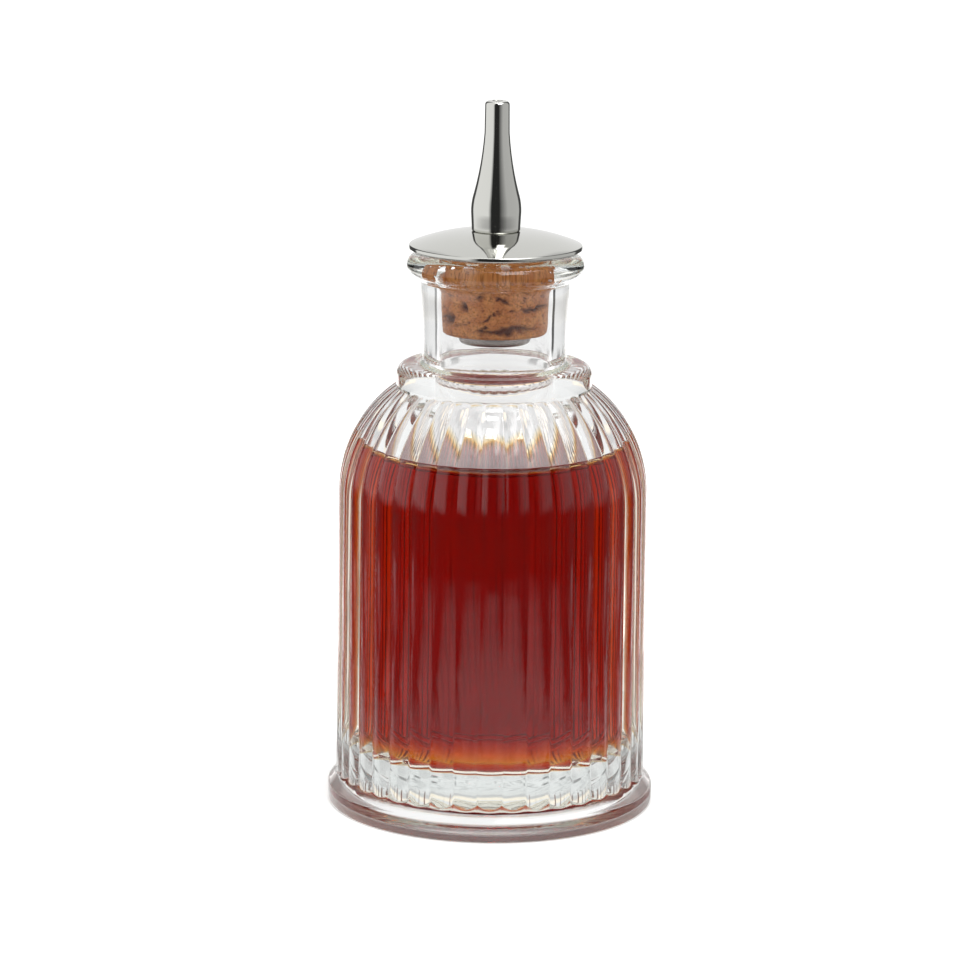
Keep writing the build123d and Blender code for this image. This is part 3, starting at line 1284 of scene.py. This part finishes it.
@dataclass
class Studio:
    """A pale table, soft light and the camera. Lengths are in millimetres, angles in degrees."""

    floor_size: float = 12000.0
    floor_white: str = "E8E8E6"
    floor_glow: float = 0.35
    floor_roughness: float = 0.9
    floor_sheen: float = 0.1
    can_middle: float = 8.0
    can_radius: float = 240.0
    can_height: float = 600.0
    can_columns: int = 360
    floor_gap: float = 0.05
    target: tuple[float, float, float] = (-2.4576, 0.0, 62.06)
    camera_distance: float = 814.7
    camera_elevation: float = 12.61
    camera_roll: float = 0.642
    lens: float = 161.61
    sensor: float = 36.0
    # Nearest and farthest that the camera sees, in metres
    camera_reach: tuple[float, float] = (0.01, 100.0)

    # Reflections see a pale table whose sides lie in shade, a dark room in front and bright cards higher up.
    glossy_table: Tones = mirrored((
        (44, 0.9), (51, 0.1), (88, 0.1), (94, 1.0), (108, 1.0), (114, 0.1), (138, 0.1), (150, 2.4),
        (180, 2.4),
    ))  # fmt: skip
    glossy_rim: Tones = mirrored((
        (12, 0.45), (40, 0.06), (88, 0.1), (94, 0.8), (108, 0.8), (114, 0.1), (138, 0.1), (150, 2.4),
        (180, 2.4),
    ))  # fmt: skip
    glossy_low: Tones = mirrored(((70, 0.03), (80, 0.1), (142, 0.1), (152, 2.2), (180, 2.2)))
    glossy_high: Tones = BACK_LEFT + LEFT_CARD + ((14, 0.03), (24, 0.2), (54, 0.62), (124, 0.66)) + BACK_RIGHT
    # A softbox in front, to the right and above the camera, makes the small white highlights.
    glossy_softbox: Tones = (
        BACK_LEFT + LEFT_CARD + ((4, 0.03), (14, 5.0), (44, 5.0), (56, 0.62), (124, 0.66)) + BACK_RIGHT
    )
    glossy_softbox_top: Tones = (
        (-180, 0.93), (-130, 0.9), (-36, 0.9), (-20, 0.1), (0, 0.1), (6, 5.0), (100, 5.0), (112, 0.66),
        (180, 0.93),
    )  # fmt: skip
    # Light that comes through the glass starts at a bright table and backdrop with dark gaps.
    through_table: Tones = mirrored((
        (107, 1.1), (110, 2.4), (119, 2.4), (122, 0.9), (138, 0.9), (142, 0.3), (149, 0.3), (153, 0.95),
        (160, 0.95), (162, 0.4), (166, 0.4), (168, 0.95), (180, 0.95),
    ))  # fmt: skip
    through_middle: Tones = (
        (-180, 0.9), (-130, 0.9), (-127, 0.3), (-124, 0.3), (-121, 1.15), (-40, 1.1), (-20, 0.6),
        (20, 0.6), (40, 1.1), (119, 1.15), (121, 0.05), (126, 0.05), (128, 0.9), (180, 0.9),
    )  # fmt: skip
    through_surface: Tones = mirrored(((130, 1.1), (150, 1.3), (180, 1.3)))
    through_high: Tones = mirrored(((40, 0.8), (60, 1.1), (100, 1.1), (120, 0.98), (180, 0.98)))
    card_grey: str = "E8E8E8"
    warm_white: str = "FAF0E0"

    lamp_place: tuple[float, float, float] = (20, -120, 580)
    lamp_size: float = 110.0
    lamp_watts: float = 1.2
    bounces: int = 32
    reflections: int = 12

    def floor(self) -> bpy.types.Object:
        """Makes the table: matt white acrylic with a light under it.

        Returns:
            The table.
        """
        material, tree, output = new_material("white_table")
        shader = add_node(
            tree,
            "ShaderNodeBsdfPrincipled",
            {
                "Base Color": colour(self.floor_white),
                "Roughness": self.floor_roughness,
                "Specular IOR Level": self.floor_sheen,
                "Emission Color": WHITE,
                "Emission Strength": self.floor_glow,
            },
        )
        tree.links.new(shader.outputs["BSDF"], output.inputs["Surface"])
        mesh = bmesh.new()
        bmesh.ops.create_grid(mesh, x_segments=1, y_segments=1, size=self.floor_size / 2 * MM)
        bmesh.ops.translate(mesh, verts=mesh.verts[:], vec=(0, 0, -self.floor_gap * MM))
        data = bpy.data.meshes.new("table")
        mesh.to_mesh(data)
        mesh.free()
        data.materials.append(material)
        table = bpy.data.objects.new("table", data)
        bpy.context.scene.collection.objects.link(table)
        return table

    def tone(self, tones: Tones, side: float) -> float:
        """Gives the brightness on one side of the ring.

        Args:
            tones: Angles and brightnesses in order.
            side: Degrees from the camera's side.

        Returns:
            The brightness between the two nearest tones.
        """
        for (start, first), (end, last) in zip(tones, tones[1:]):
            if start <= side <= end:
                return first + (last - first) * (side - start) / (end - start)
        return tones[-1][1]

    def cards(self, name: str, ray: Ray, rings: tuple[LightRing, ...]) -> bpy.types.Object:
        """Makes a can of light cards round the bottle, which only one kind of ray sees.

        Args:
            name: The can's name.
            ray: The kind of ray that sees it.
            rings: Its rings, from the middle of its floor out and up to the middle of its lid.

        Returns:
            The can.
        """
        material, tree, output = new_material(name)
        glow = add_node(tree, "ShaderNodeAttribute", attribute_name=GLOW)
        shader = add_node(tree, "ShaderNodeEmission", {"Color": glow.outputs["Color"]})
        tree.links.new(shader.outputs["Emission"], output.inputs["Surface"])
        material.cycles.emission_sampling = "NONE"
        mesh = bmesh.new()
        layer = mesh.verts.layers.float_color.new(GLOW)
        last: list[bmesh.types.BMEdge] = []
        for ring in rings:
            lid = ring in (rings[0], rings[-1])
            made = bmesh.ops.create_circle(
                mesh, cap_ends=lid, segments=self.can_columns, radius=ring.radius * MM
            )["verts"]
            # The can's floor lies halfway between the bottle's foot and the table.
            bmesh.ops.translate(mesh, verts=made, vec=(0, 0, (ring.height - 0.5 * self.floor_gap) * MM))
            tint = Vector(colour(ring.tint))
            for vertex in made:
                side = math.degrees(math.atan2(vertex.co.x, -vertex.co.y))
                vertex[layer] = tint * self.tone(ring.tones, side)
            edges = list({edge for vertex in made for edge in vertex.link_edges})
            if last:
                bmesh.ops.bridge_loops(mesh, edges=last + edges)
            last = edges
        data = bpy.data.meshes.new(name)
        mesh.to_mesh(data)
        mesh.free()
        data.materials.append(material)
        can = bpy.data.objects.new(name, data)
        bpy.context.scene.collection.objects.link(can)
        for unseen in ("camera", "diffuse", "glossy", "transmission", "volume_scatter", "shadow"):
            setattr(can, "visible_" + unseen, False)
        setattr(can, ray.value, True)
        return can

    def softbox(self) -> bpy.types.Object:
        """Hangs a square softbox that faces the bottle from above the front.

        Returns:
            The softbox.
        """
        lamp = bpy.data.lights.new("front_softbox", "AREA")
        lamp.size, lamp.energy = self.lamp_size * MM, self.lamp_watts
        holder = bpy.data.objects.new("front_softbox", lamp)
        holder.location = Vector(self.lamp_place) * MM
        aim = Vector(self.target) * MM - holder.location
        holder.rotation_euler = aim.to_track_quat("-Z", "Y").to_euler()
        holder.visible_glossy = False
        bpy.context.scene.collection.objects.link(holder)
        return holder

    def camera(self) -> bpy.types.Object:
        """Sets the camera at the photograph's angle.

        Returns:
            The camera.
        """
        data = bpy.data.cameras.new("camera")
        data.lens, data.sensor_width = self.lens, self.sensor
        data.clip_start, data.clip_end = self.camera_reach
        camera = bpy.data.objects.new("camera", data)
        rise = math.radians(self.camera_elevation)
        target = Vector(self.target) * MM
        camera.location = target + Vector((0, -math.cos(rise), math.sin(rise))) * self.camera_distance * MM
        roll = Matrix.Rotation(math.radians(self.camera_roll), 3, "Z")
        camera.rotation_euler = (Euler((math.pi / 2 - rise, 0, 0)).to_matrix() @ roll).to_euler()
        bpy.context.scene.collection.objects.link(camera)
        bpy.context.scene.camera = camera
        return camera

    def reflected_rings(self) -> tuple[LightRing, ...]:
        """Gives the rings that reflections see, from the table's middle out and up to the lid.

        Returns:
            The rings in order.
        """
        wide, top = self.can_radius, self.can_height
        return (
            LightRing(self.can_middle, 0, even(1.2)),
            LightRing(45, 0, even(1.2)),
            LightRing(75, 0, self.glossy_table),
            LightRing(130, 0, self.glossy_table),
            LightRing(215, 0, self.glossy_rim),
            LightRing(wide, 0, self.glossy_low),
            LightRing(wide, 35, self.glossy_low),
            LightRing(wide, 60, self.glossy_high),
            LightRing(wide, 285, self.glossy_high),
            LightRing(wide, 330, self.glossy_softbox),
            LightRing(wide, 430, self.glossy_softbox),
            LightRing(wide, 560, self.glossy_softbox_top),
            LightRing(wide, top, self.glossy_softbox_top),
            LightRing(200, top, self.glossy_softbox_top),
            LightRing(160, top, even(0.3)),
            LightRing(self.can_middle, top, even(0.3)),
        )

    def through_rings(self) -> tuple[LightRing, ...]:
        """Gives the rings that are seen through glass, from the table's middle out and up to the lid.

        Returns:
            The rings in order.
        """
        wide, top = self.can_radius, self.can_height
        return (
            LightRing(self.can_middle, 0, even(1.0)),
            LightRing(45, 0, even(1.0)),
            LightRing(75, 0, self.through_table),
            LightRing(wide, 0, self.through_table),
            LightRing(wide, 30, self.through_table),
            LightRing(wide, 45, self.through_middle),
            LightRing(wide, 66, self.through_middle),
            LightRing(wide, 74, self.through_middle, self.card_grey),
            LightRing(wide, 85, self.through_middle, self.card_grey),
            LightRing(wide, 95, self.through_surface, self.warm_white),
            LightRing(wide, 107, self.through_surface, self.warm_white),
            LightRing(wide, 113, self.through_high),
            LightRing(wide, top, self.through_high),
            LightRing(self.can_middle, top, even(0.8)),
        )

    def build(self) -> None:
        """Makes the whole studio."""
        scene = bpy.context.scene
        world = bpy.data.worlds.new("studio")
        scene.world = world
        world.use_nodes = True
        world.node_tree.nodes.clear()
        back = add_node(world.node_tree, "ShaderNodeBackground", {"Color": WHITE, "Strength": 1.0})
        output = add_node(world.node_tree, "ShaderNodeOutputWorld")
        world.node_tree.links.new(back.outputs["Background"], output.inputs["Surface"])
        scene.view_settings.view_transform = "Standard"
        scene.cycles.max_bounces = self.bounces
        scene.cycles.transmission_bounces = self.bounces
        scene.cycles.glossy_bounces = self.reflections
        self.floor()
        self.cards("glossy_cards", Ray.GLOSSY, self.reflected_rings())
        self.cards("through_cards", Ray.THROUGH, self.through_rings())
        self.softbox()
        self.camera()


def main() -> None:
    """Builds the bottle, its stopper and the studio."""
    logging.basicConfig(level=logging.INFO, format="%(name)s: %(message)s")
    Bottle().build()
    Cork().build()
    MetalTop().build()
    Studio().build()


if __name__ == "__main__":
    main()
